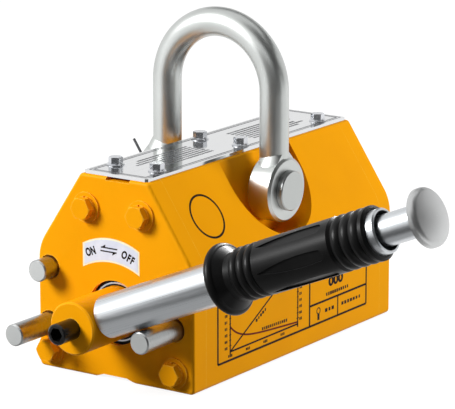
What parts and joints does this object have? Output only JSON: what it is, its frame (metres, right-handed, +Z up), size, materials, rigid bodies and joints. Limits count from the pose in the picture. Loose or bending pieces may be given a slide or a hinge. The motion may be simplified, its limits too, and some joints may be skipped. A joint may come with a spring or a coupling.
{
  "type": "permanent magnetic lifter",
  "caption": "Permanent magnetic lifter: steel pole block with a turning magnet rotor, side handle with a sliding grip, stop pins and a lifting shackle.",
  "frame": {"origin": "middle of the base, midway between the two pole faces", "axes": "+X along the rotor axis, from the handle end to the closed end; +Z up; the handle rests at -Y"},
  "size_m": [0.2989, 0.3201, 0.2209],
  "materials": {
    "yellow_paint": "satin",
    "forged_steel": "satin",
    "turned_steel": "satin",
    "polished_plate": "polished",
    "zinc_bolts": "satin",
    "black_rubber": "satin",
    "black_steel": "satin",
    "core_steel": "satin",
    "magnet": "satin",
    "bronze": "satin",
    "spring_steel": "satin"
  },
  "bodies": {
    "block": {"front_cover": "yellow_paint", "rear_cover": "yellow_paint", "near_pole_block": "yellow_paint", "far_pole_block": "yellow_paint", "front_cover_bolts": "yellow_paint", "rear_cover_bolts": "yellow_paint", "cover_flat_washers": "yellow_paint", "cover_spring_washers": "yellow_paint", "off_stop_pin": "turned_steel", "on_stop_pin": "turned_steel", "lock_pin": "turned_steel", "shackle_pin": "turned_steel", "pin_head_washer": "turned_steel", "pin_end_washer": "turned_steel", "split_pin": "turned_steel", "top_plate": "polished_plate", "top_plate_bolts": "zinc_bolts", "shaft_seal": "black_rubber", "pin_sleeve": "core_steel", "fixed_magnets": "magnet", "front_bush": "bronze", "rear_bush": "bronze", "pole_spacer": "bronze"},
    "handle": {"rotor_hub": "yellow_paint", "rotor_rear_disc": "core_steel", "rotor_segments": "core_steel", "rotor_magnets": "magnet", "rotor_keepers": "bronze", "rotor_screws": "core_steel", "hub_set_screw": "black_steel", "handle_bar": "turned_steel", "bar_knob": "turned_steel", "spring_seat": "core_steel"},
    "sleeve": {"handle_tube": "turned_steel", "inner_guide": "bronze", "outer_guide": "bronze", "grip": "black_rubber", "return_spring": "spring_steel"},
    "shackle": {"shackle": "forged_steel"}
  },
  "joints": [
    {"name": "handle_turn", "type": "hinge", "parent": "block", "child": "handle", "pos_m": [0, 0, 0.0437], "axis": [-1, 0, 0], "range_deg": [0, 150]},
    {"name": "sleeve_slide", "type": "slide", "parent": "handle", "child": "sleeve", "axis": [0, -0.9229, 0.385], "range_m": [0, 0.02], "stiffness_N_per_m": 500, "springref_m": -0.01, "deforming": ["return_spring"]},
    {"name": "shackle_swing", "type": "hinge", "parent": "block", "child": "shackle", "pos_m": [0, 0, 0.107], "axis": [0, 1, 0], "range_deg": [-55, 55]}
  ]
}
